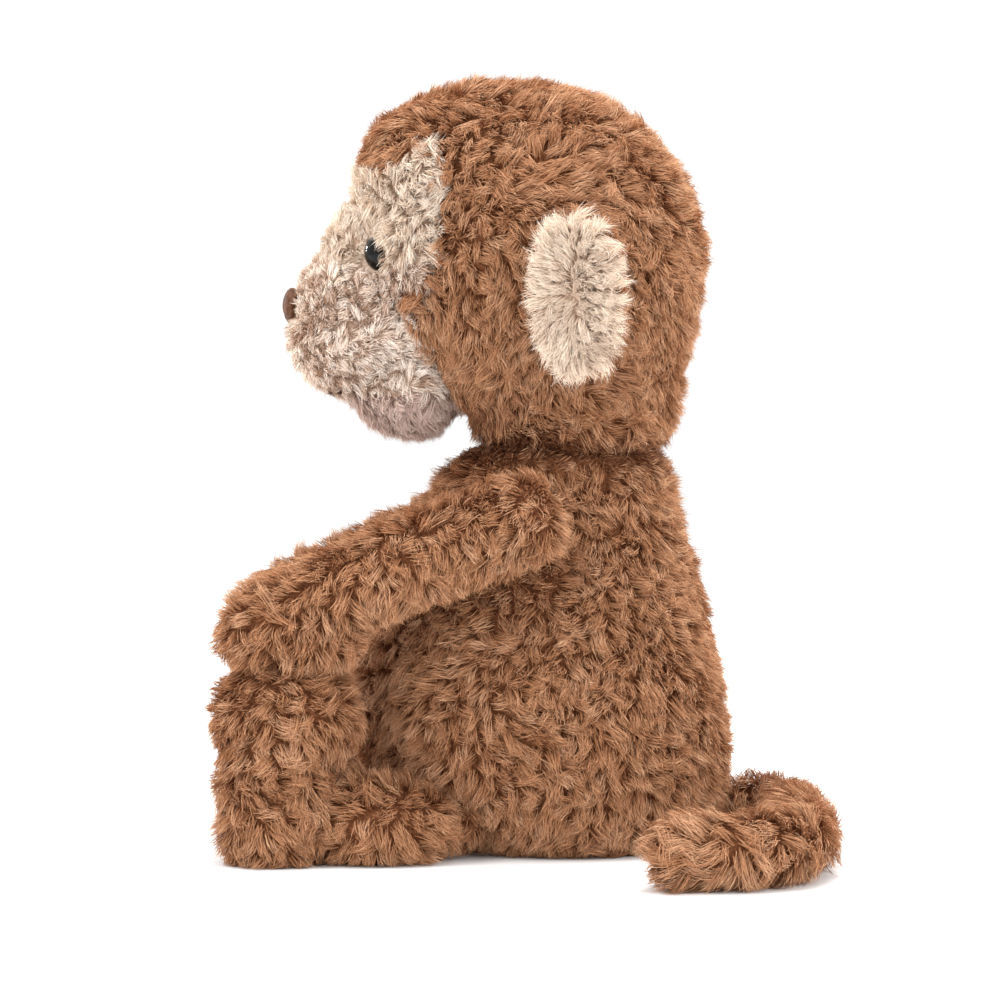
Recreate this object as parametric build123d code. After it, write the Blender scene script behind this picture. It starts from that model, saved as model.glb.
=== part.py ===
from build123d import *

import os
from math import cos, radians, sin, sqrt

# A sitting plush monkey with its hands on its feet and its tail curled round to its left side.
#
# Millimetres, +Z up.  The monkey faces -Y and its left side is +X.  The origin is the middle of the
# flat seat under the torso.  Every *_volume function takes an inset and gives the same shape that much
# smaller, so a cover is one volume less its inset copy, and its stuffing is a further inset copy.
# Outer surfaces stand where the lightly brushed pile ends.

# ---------------------------------------------------------------- driving dimensions
WALL = 2.4  # fabric backing with its compressed pile
SLACK = 0.25  # between a cover and what fills it
THREAD_R = 0.3  # strong sewing thread
SEAM_GAP = 1.2  # between a limb's round root and its seat, where the joining thread lies

# Torso sections: height, half width, half depth, centre y.
TORSO_SECTIONS = [
    (0, 25, 27, -2),
    (5, 36, 39, -4.5),
    (20, 41.5, 46, -10.5),
    (40, 41.5, 46, -12),
    (60, 36.5, 41.5, -11.5),
    (80, 30, 35, -11),
    (88, 28, 32.5, -10),
    (96, 26, 28.5, -7),
    (106, 23, 25, -4.5),
]
SIDE_SEAM_Y = -6  # the front and back torso panels meet here

# Head: a skull with a full forehead and nape, a bridge between the eyes, a muzzle, a jaw and a round
# neck that turns in a cup on the torso.
NECK = (0, -4.5, 115)
NECK_R = 29
NECK_THREAD_DROP = 17
SKULL = ((0, -14, 146.5), (42, 43.5, 44.5))
FOREHEAD = ((0, -27, 164), (36, 32, 27.5))
NAPE = ((0, -4, 130), (34, 31.5, 24))
BRIDGE = ((0, -46, 146), (14.5, 23, 20))
MUZZLE = ((0, -49.5, 129), (24, 26.5, 20))
JAW = ((0, -44, 115.5), (23.5, 16.5, 14))
EAR_SEAM_Y = -9  # the front and back head panels meet here
FACE_SEAM_Y = -38  # pale face panels in front of this
FACE_TOP_Z = 170
MUZZLE_TOP_Z = 144
MUZZLE_BASE_Z = 113

# Eyes and nose.
EYE_AT = (19, 147.2)  # x and height
EYE_R = 4.5
EYE_RISE = 2.6
EYE_SHANK_R = 1.5
EYE_SHANK_LENGTH = 9.0
WASHER_R = 5.5
WASHER_THICKNESS = 1.2
NOSE = ((0, -74.4, 134.5), (6, 2.4, 4.6))
MOUTH_R = 16.4
MOUTH_Z = 113
MOUTH_HALF_ANGLE = 38

# Ears: two-layer flaps that stand off the head.
EAR_ROOT = (44.4, -15, 137)
EAR_LEAN = 12  # of the root line, outward at the top
EAR_FLARE = 25  # of the flap, outward at the back
EAR_HALF_WIDTH = 12.5
EAR_HALF_HEIGHT = 21
EAR_LAYER = 2.9
EAR_LAYER_GAP = 0.1

# Arms: shoulder and hand centres, and the swing axis's tilt that lets a raised arm clear the head.
SHOULDER = (42.6, -7, 87)
HAND = (38.8, -80, 58.5)
ARM_ROOT_R = 12.5
ARM_MID_R = 12.9
HAND_R = 11.4
ARM_TIP = 10.5  # past the hand's centre
SWING_TILT = 25
SHOULDER_SEAT_R = 15.3
SHOULDER_THREAD_RING_R = 6
SHOULDER_THREAD_OUT = 13.2

# Legs: they lie on the floor and end in upright feet, each with a lower and an upper bulge.
HIP = (27, -31, 8.4)
HIP_R = 8.4
HEEL = (33, -71, 12)
HEEL_R = 13
FOOT_LOW = ((35.2, -76, 10.5), (15.2, 16.4, 19.5))
FOOT_HIGH = ((35.2, -76, 28.2), (15.2, 16.4, 18))
LEG_WAY_R = 12  # the way that the torso leaves for the leg's swing

# Tail.
TAIL_ROOT = (0, 37, 10.7)
TAIL_R = 10.5
TAIL_BACK_Y = 49
TAIL_SIDE_X = 77
TAIL_END_Y = 20
TAIL_BENDS = [11.5, 24]

# Pellet bags: centre and half sizes, wall, and the pellets in them.
BAG_WALL = 0.8
SEAT_BAG = ((0, 3.5, 15), (20, 18, 10))
FOOT_BAG = ((34.5, -75, 13.5), (9.5, 10, 8))
PELLET_R = 1.9
PELLET_PITCH = 4.3
FAR = 300  # larger than the whole monkey


# ---------------------------------------------------------------- shapes
def ellipsoid(centre, semi, inset=0.0):
    """A closed egg shape from a scaled sphere."""
    ball_r = 10
    by = tuple((s - inset) / ball_r for s in semi)
    return Pos(*centre) * scale(Sphere(ball_r), by=by)


def slab(low, high):
    """The box between two corners."""
    size = [b - a for a, b in zip(low, high)]
    middle = [(a + b) / 2 for a, b in zip(low, high)]
    return Pos(*middle) * Box(*size)


def frame_along(start, end):
    """A frame at start whose z axis points to end."""
    return Plane(origin=start, z_dir=Vector(*end) - Vector(*start)).location


def seam_ring(centre, direction, distance, radius):
    """A loop of thread round an axis, a distance along it from centre."""
    axis = Vector(*direction).normalized()
    place = Plane(origin=Vector(*centre) + axis * distance, z_dir=axis).location
    return place * Torus(radius, THREAD_R)


def ball_seam(centre, direction, ball_r, drop):
    """A loop of thread in the gap round a ball, a given drop from its centre."""
    reach = ball_r + SEAM_GAP / 2
    return seam_ring(centre, direction, drop, sqrt(reach**2 - drop**2))


def to_right(shape):
    return mirror(shape, about=Plane.YZ)


# ---------------------------------------------------------------- torso
def leg_way(inset):
    """The room that the torso leaves for the left leg as it swings down and splays out."""
    x, y, z = HIP
    r = LEG_WAY_R + inset
    corner = (y + r, z + r)
    room = slab((x - r, -FAR, -FAR), (FAR, *corner))
    rim = room.edges().filter_by(Axis.X).sort_by(lambda e: e.center().Y + e.center().Z)[-1]
    return fillet(rim, r)


def torso_volume(inset):
    sections = []
    top = TORSO_SECTIONS[-1][0]
    for height, half_width, half_depth, centre_y in TORSO_SECTIONS:
        at = min(max(height, inset), top - inset)
        outline = Ellipse(half_width - inset, half_depth - inset)
        sections.append(Pos(0, centre_y, at) * outline)
    body = loft(sections)
    body -= Pos(*NECK) * Sphere(NECK_R + SEAM_GAP + inset)
    body -= Pos(*TAIL_ROOT) * Sphere(TAIL_R + SEAM_GAP + inset)
    seat = Pos(*SHOULDER) * Sphere(SHOULDER_SEAT_R + inset)
    body = body - seat - to_right(seat)
    way = leg_way(inset)
    return body - way - to_right(way)


def pellets(bag):
    """Plastic pellets in a square packing that fills the lower part of a bag."""
    (cx, cy, cz), semi = bag
    room = [s - BAG_WALL - PELLET_R - 0.2 for s in semi]
    steps = [int(r / PELLET_PITCH) + 1 for r in room]
    found = []
    for i in range(-steps[0], steps[0] + 1):
        for j in range(-steps[1], steps[1] + 1):
            for k in range(-steps[2], 1):
                offset = (i * PELLET_PITCH, j * PELLET_PITCH, k * PELLET_PITCH)
                if sum((o / r) ** 2 for o, r in zip(offset, room)) <= 1:
                    found.append(Pos(cx + offset[0], cy + offset[1], cz + offset[2]) * Sphere(PELLET_R))
    return Compound(children=found)


def bag_shell(bag):
    centre, semi = bag
    return ellipsoid(centre, semi) - ellipsoid(centre, semi, BAG_WALL)


def torso_parts():
    cover = torso_volume(0) - torso_volume(WALL)
    front = cover & slab((-FAR, -FAR, -FAR), (FAR, SIDE_SEAM_Y, FAR))
    back = cover & slab((-FAR, SIDE_SEAM_Y, -FAR), (FAR, FAR, FAR))
    stuffing = torso_volume(WALL + SLACK) - ellipsoid(*SEAT_BAG, inset=-SLACK)
    return {
        "torso_front_panel": front,
        "torso_back_panel": back,
        "torso_stuffing": stuffing,
        "seat_pellet_bag": bag_shell(SEAT_BAG),
        "seat_pellets": pellets(SEAT_BAG),
    }


# ---------------------------------------------------------------- head
def head_volume(inset):
    return (
        ellipsoid(*SKULL, inset=inset)
        + Pos(*NECK) * Sphere(NECK_R - inset)
        + ellipsoid(*FOREHEAD, inset=inset)
        + ellipsoid(*NAPE, inset=inset)
        + ellipsoid(*BRIDGE, inset=inset)
        + ellipsoid(*MUZZLE, inset=inset)
        + ellipsoid(*JAW, inset=inset)
    )


def eye_frame():
    """A frame on the skull's surface at the left eye, with z along the outward normal."""
    (sx, sy, sz), (a, b, c) = SKULL
    x, z = EYE_AT
    y = sy - b * sqrt(1 - ((x - sx) / a) ** 2 - ((z - sz) / c) ** 2)
    normal = Vector((x - sx) / a**2, (y - sy) / b**2, (z - sz) / c**2).normalized()
    return Plane(origin=(x, y, z), z_dir=normal).location


def eye():
    """A glossy half-round plastic eye on a ridged shank."""
    curve_r = (EYE_R**2 + EYE_RISE**2) / (2 * EYE_RISE)
    dome = Pos(0, 0, EYE_RISE - curve_r) * Sphere(curve_r)
    dome = dome & slab((-FAR, -FAR, 0.05), (FAR, FAR, FAR))
    shank = Pos(0, 0, 0.5 - EYE_SHANK_LENGTH / 2) * Cylinder(EYE_SHANK_R - 0.15, EYE_SHANK_LENGTH)
    for step in range(3):
        shank += Pos(0, 0, -WALL - WASHER_THICKNESS - 1.2 - 1.3 * step) * Cylinder(EYE_SHANK_R, 0.5)
    return eye_frame() * (dome + shank)


def eye_washer():
    height = -WALL - 0.4 - WASHER_THICKNESS / 2
    ring = Cylinder(WASHER_R, WASHER_THICKNESS) - Cylinder(EYE_SHANK_R - 0.1, 2 * WASHER_THICKNESS)
    return eye_frame() * Pos(0, 0, height) * ring


def eye_way(radius):
    """The hole that an eye's shank, or with a larger radius its washer, needs."""
    return eye_frame() * Pos(0, 0, -EYE_SHANK_LENGTH / 2) * Cylinder(radius, EYE_SHANK_LENGTH + 3)


def mouth_stitch():
    """A shallow smile of thick thread in the fold under the muzzle."""
    centre = Vector(0, MUZZLE[0][1], MOUTH_Z)
    start = Rot(0, 0, -90 - MOUTH_HALF_ANGLE)
    spot = start * Pos(MOUTH_R, 0, 0) * Rot(90, 0, 0) * Circle(2 * THREAD_R)
    return Pos(*centre) * revolve(spot, Axis.Z, 2 * MOUTH_HALF_ANGLE)


def head_parts():
    outer = head_volume(0)
    cover = outer - head_volume(WALL)
    hole = eye_way(EYE_SHANK_R + 0.05)
    cover = cover - hole - to_right(hole)
    face_region = slab((-FAR, -FAR, -FAR), (FAR, FACE_SEAM_Y, FACE_TOP_Z))
    hair = cover - face_region
    behind_ears = slab((-FAR, EAR_SEAM_Y, -FAR), (FAR, FAR, FAR))
    face = cover & face_region
    room = eye_way(WASHER_R + SLACK)
    return {
        "head_back_panel": hair & behind_ears,
        "head_front_panel": hair - behind_ears,
        "brow_panel": face & slab((-FAR, -FAR, MUZZLE_TOP_Z), (FAR, FAR, FAR)),
        "muzzle_panel": face & slab((-FAR, -FAR, MUZZLE_BASE_Z), (FAR, FAR, MUZZLE_TOP_Z)),
        "chin_panel": face & slab((-FAR, -FAR, -FAR), (FAR, FAR, MUZZLE_BASE_Z)),
        "head_stuffing": head_volume(WALL + SLACK) - room - to_right(room),
        "nose": ellipsoid(*NOSE) - outer,
        "mouth_stitch": mouth_stitch() - outer,
        "left_eye": eye(),
        "right_eye": to_right(eye()),
        "left_eye_washer": eye_washer(),
        "right_eye_washer": to_right(eye_washer()),
    }


def ear_frame():
    """A frame on the left ear's root line: x backward along the flap, y out of its pale face."""
    line = Vector(sin(radians(EAR_LEAN)), 0, cos(radians(EAR_LEAN)))
    flap = Vector(sin(radians(EAR_FLARE)), cos(radians(EAR_FLARE)), 0)
    flap = (flap - line * flap.dot(line)).normalized()
    return Plane(origin=EAR_ROOT, x_dir=flap, z_dir=flap.cross(line)).location


def ear_layer(side):
    """One rounded layer of an ear, on the pale side (1) or the brown side (-1) of its middle."""
    middle = side * (EAR_LAYER + EAR_LAYER_GAP) / 2
    plate = extrude(Ellipse(EAR_HALF_WIDTH, EAR_HALF_HEIGHT), EAR_LAYER)
    outer_edges = plate.edges().sort_by(Axis.Z)
    rim = outer_edges[-1] if side > 0 else outer_edges[0]
    plate = fillet(rim, 0.8 * EAR_LAYER)
    return ear_frame() * Pos(EAR_HALF_WIDTH + 0.5, 0, middle - EAR_LAYER / 2) * plate


# ---------------------------------------------------------------- arms
def arm_volume(inset):
    length = (Vector(*HAND) - Vector(*SHOULDER)).length
    root_r = ARM_ROOT_R - inset
    outline = [
        (0, length + ARM_TIP - inset),
        (HAND_R - inset, length),
        (ARM_MID_R - inset, length / 2),
        (root_r, 0),
    ]
    side = Spline(outline, tangents=[(1, 0), (0, -1)])
    root = CenterArc((0, 0), root_r, 0, -90)
    back = Line((0, -root_r), (0, length + ARM_TIP - inset))
    face = make_face(Plane.XZ * (Curve() + [side, root, back]))
    return frame_along(SHOULDER, HAND) * revolve(face, Axis.Z)


def arm_parts():
    cover = arm_volume(0) - arm_volume(WALL)
    return {"arm_cover": cover, "arm_stuffing": arm_volume(WALL + SLACK)}


def shoulder_thread():
    inward_up = (-cos(radians(SWING_TILT)), 0, sin(radians(SWING_TILT)))
    return seam_ring(SHOULDER, inward_up, SHOULDER_THREAD_OUT, SHOULDER_THREAD_RING_R)


# ---------------------------------------------------------------- legs
def leg_volume(inset):
    length = (Vector(*HEEL) - Vector(*HIP)).length
    shank = Pos(0, 0, length / 2) * Cone(HIP_R - inset, HEEL_R - inset, length)
    leg = frame_along(HIP, HEEL) * (shank + Sphere(HIP_R - inset))
    leg += Pos(*HEEL) * Sphere(HEEL_R - inset)
    leg += ellipsoid(*FOOT_LOW, inset=inset)
    leg += ellipsoid(*FOOT_HIGH, inset=inset)
    return leg & slab((-FAR, -FAR, inset), (FAR, FAR, FAR))


def leg_parts():
    cover = leg_volume(0) - leg_volume(WALL)
    stuffing = leg_volume(WALL + SLACK) - ellipsoid(*FOOT_BAG, inset=-SLACK)
    return {
        "leg_cover": cover,
        "leg_stuffing": stuffing,
        "foot_pellet_bag": bag_shell(FOOT_BAG),
        "foot_pellets": pellets(FOOT_BAG),
    }


def hip_thread():
    return ball_seam(HIP, (0, 1, 1), HIP_R, 0.8 * HIP_R)


# ---------------------------------------------------------------- tail
def tail_volume(inset):
    x, y, z = TAIL_ROOT
    corners = [
        (x, y, z),
        (x, TAIL_BACK_Y, z),
        (TAIL_SIDE_X, TAIL_BACK_Y, z),
        (TAIL_SIDE_X, TAIL_END_Y, z),
    ]
    path = FilletPolyline(*corners, radius=TAIL_BENDS)
    r = TAIL_R - inset
    tube = sweep(Plane(origin=path @ 0, z_dir=path % 0) * Circle(r), path)
    return tube + Pos(*corners[0]) * Sphere(r) + Pos(*corners[-1]) * Sphere(r)


def tail_parts():
    cover = tail_volume(0) - tail_volume(WALL)
    return {"tail_cover": cover, "tail_stuffing": tail_volume(WALL + SLACK)}


# ---------------------------------------------------------------- the whole monkey
def monkey():
    parts = {**torso_parts(), **head_parts(), **tail_parts()}
    pairs = {
        **arm_parts(),
        **leg_parts(),
        "shoulder_seam_thread": shoulder_thread(),
        "hip_seam_thread": hip_thread(),
        "ear_front_layer": ear_layer(1),
        "ear_back_layer": ear_layer(-1),
    }
    for name, shape in pairs.items():
        parts["left_" + name] = shape
        parts["right_" + name] = to_right(shape)
    parts["neck_seam_thread"] = ball_seam(NECK, (0, 0, -1), NECK_R, NECK_THREAD_DROP)
    parts["tail_seam_thread"] = ball_seam(TAIL_ROOT, (0, -1, 0), TAIL_R, 0.85 * TAIL_R)
    return parts


os.makedirs("parts", exist_ok=True)
for part_name, part_shape in monkey().items():
    export_step(part_shape, f"parts/{part_name}.step")
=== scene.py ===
from math import cos, pi, radians, sin, sqrt

import bmesh
import bpy
import numpy as np
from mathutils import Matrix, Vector
from mathutils.kdtree import KDTree


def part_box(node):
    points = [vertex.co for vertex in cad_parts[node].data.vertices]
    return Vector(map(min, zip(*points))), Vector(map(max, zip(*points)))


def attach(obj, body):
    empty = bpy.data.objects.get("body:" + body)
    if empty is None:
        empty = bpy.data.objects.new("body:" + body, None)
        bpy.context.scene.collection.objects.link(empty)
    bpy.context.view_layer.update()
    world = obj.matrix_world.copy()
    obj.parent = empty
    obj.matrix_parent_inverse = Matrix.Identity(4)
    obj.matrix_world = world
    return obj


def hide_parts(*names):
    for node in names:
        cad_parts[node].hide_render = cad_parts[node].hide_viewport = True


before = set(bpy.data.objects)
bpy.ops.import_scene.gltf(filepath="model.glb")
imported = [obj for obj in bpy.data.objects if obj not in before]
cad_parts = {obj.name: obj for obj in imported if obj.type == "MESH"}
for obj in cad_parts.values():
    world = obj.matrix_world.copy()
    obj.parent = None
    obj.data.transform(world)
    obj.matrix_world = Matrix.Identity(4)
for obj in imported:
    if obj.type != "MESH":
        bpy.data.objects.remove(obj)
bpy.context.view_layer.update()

# A sitting plush monkey.  Lengths in this script are millimetres until mesh_object scales them to
# Blender's metres.  The frame is the CAD's: +Z up, the face looks along -Y, the toy's left is +X.

MM = 0.001
SEED = 801  # of every random draw, with one of these added
TORSO_FIELD, TORSO_SEED = 10, 11
HAIR_FIELD, HAIR_SEED = 30, 31
FACE_FIELD, FACE_SEED = 40, 41
ARM_SEED, LEG_SEED, TAIL_SEED, EAR_SEED = 61, 71, 81, 91

# -------------------------------- driving dimensions
PILE = 3.8  # how far the brown pile stands above its backing
FACE_PILE = 2.2  # the same for the pale, shorter pile
CLOTH = 0.8  # thickness of the backing
FLOOR_LIFT = 0.25  # strands that reach the floor lie this far above it
SKIN_LIFT = 1.3  # and the backing this far
PUFF = 1.2  # a skin starts about this much smaller, and swells by about as much
SKIN_VOXEL = 1.5  # fineness of a skin that is fused from several solids
TORSO_VOXEL = 1.8
SKIN_SMOOTHING = 6  # rounds of smoothing after that

TORSO_SECTIONS = [  # height, half width, half depth, centre y
    (0, 25, 27, -2),
    (5, 36, 39, -4.5),
    (20, 41.5, 47.5, -12),
    (40, 41.5, 47.5, -13.5),
    (60, 36.5, 43, -13),
    (80, 30, 35, -11),
    (88, 28, 32.5, -10),
    (96, 26, 28.5, -7),
]
TORSO_RIM_Z = 98.5
SIDE_SEAM_Y = -6
NECK = (0, -4.5, 115)
NECK_R = 29  # of the head's round neck
NECK_CUP_R = 24.6  # of the backing's cup, inside which the round neck's backing turns
SKULL = ((0, -14, 146.5), (42, 43.5, 44.5))
FOREHEAD = ((0, -27, 164), (36, 31.3, 27.5))
NAPE = ((0, -4, 130), (34, 31.5, 24))
BRIDGE = ((0, -46, 147), (14.5, 22, 18.5))
CHEEKS = ((0, -49, 137), (22, 25.2, 14.5))
MUZZLE = ((0, -49.5, 127), (24, 26.2, 18))
JAW = ((0, -44, 115.5), (23.5, 16.5, 14))
EAR_SEAM_Y = -9
FACE_SEAM_Y = -38
FACE_TOP_Z = 170
FRINGE_TOP_Z = 179  # up to here the hair over the brow stands as far out as the face
BROW_LOCK_Z = 166  # the tip of the brown lock over the brow
MUZZLE_TOP_Z = 144
MUZZLE_BASE_Z = 113
CHEEK_POINT = (8.5, 135, 7.5)  # length, height and half width of the brown point at the cheek
JAW_STEP = (6, 122, 12)  # how far back the pale pile goes under the jaw, from which height, over how much

CREASE_Z = 99  # the crease between head and torso
CREASE_HALF = 4
HAIR_BASE_Z = 99  # the hair on the round neck starts here, inside the torso's cup
BROW_CREASE_Y = -52.8  # the crease between brow and bridge, where it passes the eye
BROW_CREASE_Z = 151.3
BROW_CREASE_SLOPE = 0.6  # how far forward it goes for each millimetre up
EYE_AT = (19, 147.2)  # x and height
EYE_R = 4.5
EYE_MARGIN = 0.3  # between an eye and the nearest roots of the pile

SHOULDER = (42.6, -7, 87)
ARM_STEPS = 12
HAND = (38.8, -80, 58.5)
ARM_ROOT_R = 12.5
ARM_MID_R = 12.9
HAND_R = 11.4
ARM_TIP = 10.5
ARM_SEAM_SHIFT = 7.5  # the arm's flat sewn end, from the joint's middle toward the hand
ARM_END_DEPTH = 0.45  # depth of that end's rounding, where 1 is half round
PALM = ((38.8, -72.5, 55.5), (11.4, 20, 12))  # pressed down on the foot

HIP = (27, -31, 8.4)
LEG_STEPS = 8
HIP_R = 8.4
HEEL = (33, -71, 12)
HEEL_R = 13
FOOT_LOW = ((35.2, -76, 10.5), (15.2, 16.4, 19.5))
FOOT_HIGH = ((35.2, -76, 28.2), (15.2, 16.4, 18))
ANKLE = ((35.2, -76, 19), (15, 17.2, 13))
INSTEP = ((35.5, -73.8, 35.2), (15, 20.3, 17.6))  # pressed up against the hand and toward the belly
CALF = ((34, -52, 8), (15, 22, 12))

TAIL_ROOT = (0, 37)
TAIL_R = 10.5
TAIL_BACK_Y = 49
TAIL_SIDE_X = 77
TAIL_END_Y = 20
TAIL_BENDS = (11.5, 24)  # radii of its quarter circles, behind the root and at the side
TAIL_RUN = (10, 20, 30)  # points along the straight run between them
TAIL_TAPER = 1.2  # its root and its run behind the back are this much slimmer than its end
TAIL_DROP = 1.6  # its soft middle line lies this much lower

SIM_SCALE = 10  # the cloth simulation's copy is this many times the real size
SIM_STEPS = 12
SIM_PRESSURE = 100
SIM_STIFFNESS = 5
PUFF_CAP = 2.0  # no point of a skin moves further than this
SEAM_HALF = 1.3  # half the width of the strip that a seam holds still


# -------------------------------- materials
def srgb(r, g, b):
    """A linear colour from the usual 0-255 values."""
    def channel(v):
        v = v / 255
        return v / 12.92 if v <= 0.04045 else ((v + 0.055) / 1.055) ** 2.4

    return (channel(r), channel(g), channel(b), 1.0)


SHADE_SHARES = (0.0, 0.6, 1.0)  # a strand's three faces, from its root's colour to its tip's; the darker roots are partly the pile's own colour, partly painted shade down in the pile


def plain_material(name, colour):
    """A strand's material: one even colour, as one fibre has."""
    mat = bpy.data.materials.new(name)
    mat.use_nodes = True
    shader = mat.node_tree.nodes["Principled BSDF"]
    shader.inputs["Base Color"].default_value = colour
    shader.inputs["Roughness"].default_value = 0.75
    shader.inputs["Specular IOR Level"].default_value = 0.25
    shader.inputs["Sheen Weight"].default_value = 0.35
    shader.inputs["Sheen Roughness"].default_value = 0.5
    shader.inputs["Sheen Tint"].default_value = colour
    return mat


def mixed(a, b, share):
    return tuple(x + (y - x) * share for x, y in zip(a, b))


def strand_palette(name, tones):
    """Materials for strands: for each tone, its shades from root to tip, the root's darkness partly painted
    shade.
    """
    materials = []
    for i, (root, tip) in enumerate(tones):
        for level, share in enumerate(SHADE_SHARES):
            colour = mixed(root, tip, share)
            materials.append(plain_material(f"{name}_{i}_{level}", colour))
    return materials


def node_material(name, build):
    mat = bpy.data.materials.new(name)
    mat.use_nodes = True
    tree = mat.node_tree
    build(tree.nodes, tree.links, tree.nodes["Principled BSDF"])
    return mat


def noise_ramp(nodes, links, scale, low, high):
    """A colour that wanders between two, in object space."""
    where = nodes.new("ShaderNodeTexCoord")
    noise = nodes.new("ShaderNodeTexNoise")
    noise.inputs["Scale"].default_value = scale
    noise.inputs["Detail"].default_value = 4.0
    links.new(where.outputs["Object"], noise.inputs["Vector"])
    ramp = nodes.new("ShaderNodeValToRGB")
    for stop, position, colour in zip(ramp.color_ramp.elements, (0.35, 0.65), (low, high)):
        stop.position = position
        stop.color = colour
    links.new(noise.outputs["Fac"], ramp.inputs["Fac"])
    return noise, ramp


def add_bump(nodes, links, height, shader, strength, distance):
    bump = nodes.new("ShaderNodeBump")
    bump.inputs["Strength"].default_value = strength
    bump.inputs["Distance"].default_value = distance
    links.new(height, bump.inputs["Height"])
    links.new(bump.outputs["Normal"], shader.inputs["Normal"])


def backing_material(name, low, high):
    """Knitted backing cloth under the pile."""
    def build(nodes, links, shader):
        noise, ramp = noise_ramp(nodes, links, 900, low, high)
        links.new(ramp.outputs["Color"], shader.inputs["Base Color"])
        shader.inputs["Roughness"].default_value = 0.95
        add_bump(nodes, links, noise.outputs["Fac"], shader, 0.5, 0.0004)

    return node_material(name, build)


BROWN_TONES = [  # root and tip of a tuft's strands; a root's darkness is partly painted shade
    (srgb(126, 76, 44), srgb(192, 141, 103)),
    (srgb(112, 64, 35), srgb(176, 124, 86)),
    (srgb(136, 88, 55), srgb(206, 160, 124)),
    # the last tone is painted shade, for the neck's crease only
    (srgb(88, 50, 29), srgb(126, 80, 52)),
]
CREAM_TONES = [
    (srgb(219, 194, 170), srgb(239, 222, 204)),
    (srgb(196, 167, 143), srgb(222, 201, 181)),
    (srgb(228, 207, 186), srgb(246, 234, 220)),
]
MUZZLE_TONES = [
    (srgb(224, 199, 179), srgb(246, 228, 212)),
    (srgb(172, 139, 116), srgb(194, 162, 140)),
    (srgb(236, 216, 200), srgb(252, 241, 230)),
]
CHIN_TONES = [
    (srgb(190, 161, 147), srgb(222, 198, 186)),
    (srgb(168, 139, 126), srgb(206, 180, 167)),
    (srgb(202, 175, 163), srgb(232, 211, 200)),
]
COMMON_TONES = 3  # a palette's first tones, which mix everywhere
MIX = (0.5, 0.25, 0.25)  # their usual shares
DARK_TONE = 1
LIGHT_TONE = 2
CREASE_SHADE_TONE = 3  # painted shade, only in the neck's crease
BROWN = strand_palette("brown_strand", BROWN_TONES)
CREAM = strand_palette("cream_strand", CREAM_TONES)
MUZZLE_PALE = strand_palette("muzzle_strand", MUZZLE_TONES)
CHIN_PALE = strand_palette("chin_strand", CHIN_TONES)
BROWN_BACKING = backing_material("brown_backing", srgb(122, 74, 43), srgb(146, 92, 58))
PALE_BACKING = backing_material("pale_backing", srgb(176, 150, 130), srgb(204, 180, 160))


def speckled(name, low, high, scale, roughness, bump=0.0, coat=0.0, specular=0.5):
    """A material whose colour wanders between two, with a fine relief."""
    def build(nodes, links, shader):
        noise, ramp = noise_ramp(nodes, links, scale, low, high)
        links.new(ramp.outputs["Color"], shader.inputs["Base Color"])
        shader.inputs["Roughness"].default_value = roughness
        shader.inputs["Coat Weight"].default_value = coat
        shader.inputs["Coat Roughness"].default_value = 0.03
        shader.inputs["Specular IOR Level"].default_value = specular
        if bump:
            add_bump(nodes, links, noise.outputs["Fac"], shader, 0.4, bump)

    return node_material(name, build)


FIBRE = speckled("fibre_fill", srgb(226, 226, 222), srgb(250, 250, 248), 1400, 0.9, bump=0.0006)
EYE_BLACK = speckled("eye_black", srgb(3, 3, 3), srgb(9, 7, 6), 160, 0.07, specular=0.2)
NYLON = speckled("washer_nylon", srgb(214, 212, 202), srgb(230, 229, 220), 500, 0.42, bump=0.0001)
PELLET = speckled("pellet_white", srgb(216, 218, 216), srgb(236, 238, 236), 350, 0.3, coat=0.4)
BAG = speckled("bag_cotton", srgb(190, 186, 174), srgb(222, 218, 206), 1800, 0.92, bump=0.0003)
THREAD = speckled("brown_thread", srgb(58, 34, 22), srgb(88, 56, 38), 2200, 0.6, bump=0.0001)
NOSE_SATIN = speckled("nose_satin", srgb(72, 43, 29), srgb(102, 67, 46), 700, 0.6, bump=0.00015,
                      specular=0.2)


# -------------------------------- mesh helpers
def mesh_object(name, verts, faces, materials):
    """An object from points in millimetres."""
    mesh = bpy.data.meshes.new(name)
    mesh.from_pydata((np.asarray(verts, float) * MM).tolist(), [], faces)
    for mat in materials:
        mesh.materials.append(mat)
    mesh.update()
    obj = bpy.data.objects.new(name, mesh)
    bpy.context.collection.objects.link(obj)
    return obj


def ellipsoid_mesh(centre, semi, inset=0.0):
    """Points and faces of a closed egg shape."""
    work = bmesh.new()
    bmesh.ops.create_icosphere(work, subdivisions=4, radius=1)
    size = np.array(semi) - inset
    verts = [np.array(v.co) * size + np.array(centre) for v in work.verts]
    faces = [[v.index for v in f.verts] for f in work.faces]
    work.free()
    return verts, faces


def ring_mesh(rings):
    """Points and faces of a closed tube through rings that share a point count."""
    count = len(rings[0])
    verts = [p for ring in rings for p in ring]
    faces = []
    for r in range(len(rings) - 1):
        for i in range(count):
            j = (i + 1) % count
            faces.append([r * count + i, r * count + j, (r + 1) * count + j, (r + 1) * count + i])
    faces.append(list(range(count))[::-1])
    last = (len(rings) - 1) * count
    faces.append([last + i for i in range(count)])
    return verts, faces


def tube_mesh(path, radii, sides=24):
    """A closed tube along a path, with a radius at each point."""
    path = [Vector(p) for p in path]
    rings = []
    reference = Vector((0, 0, 1))
    for i, (p, r) in enumerate(zip(path, radii)):
        ahead = (path[min(i + 1, len(path) - 1)] - path[max(i - 1, 0)]).normalized()
        across = ahead.cross(reference).normalized()
        up = across.cross(ahead)
        turn = [2 * pi * k / sides for k in range(sides)]
        rings.append([tuple(p + (across * cos(a) + up * sin(a)) * r) for a in turn])
    return ring_mesh(rings)


CAP_STEPS = 6
CAP_REACH = 0.97  # the last ring of a cap stops just short of a point


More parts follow.
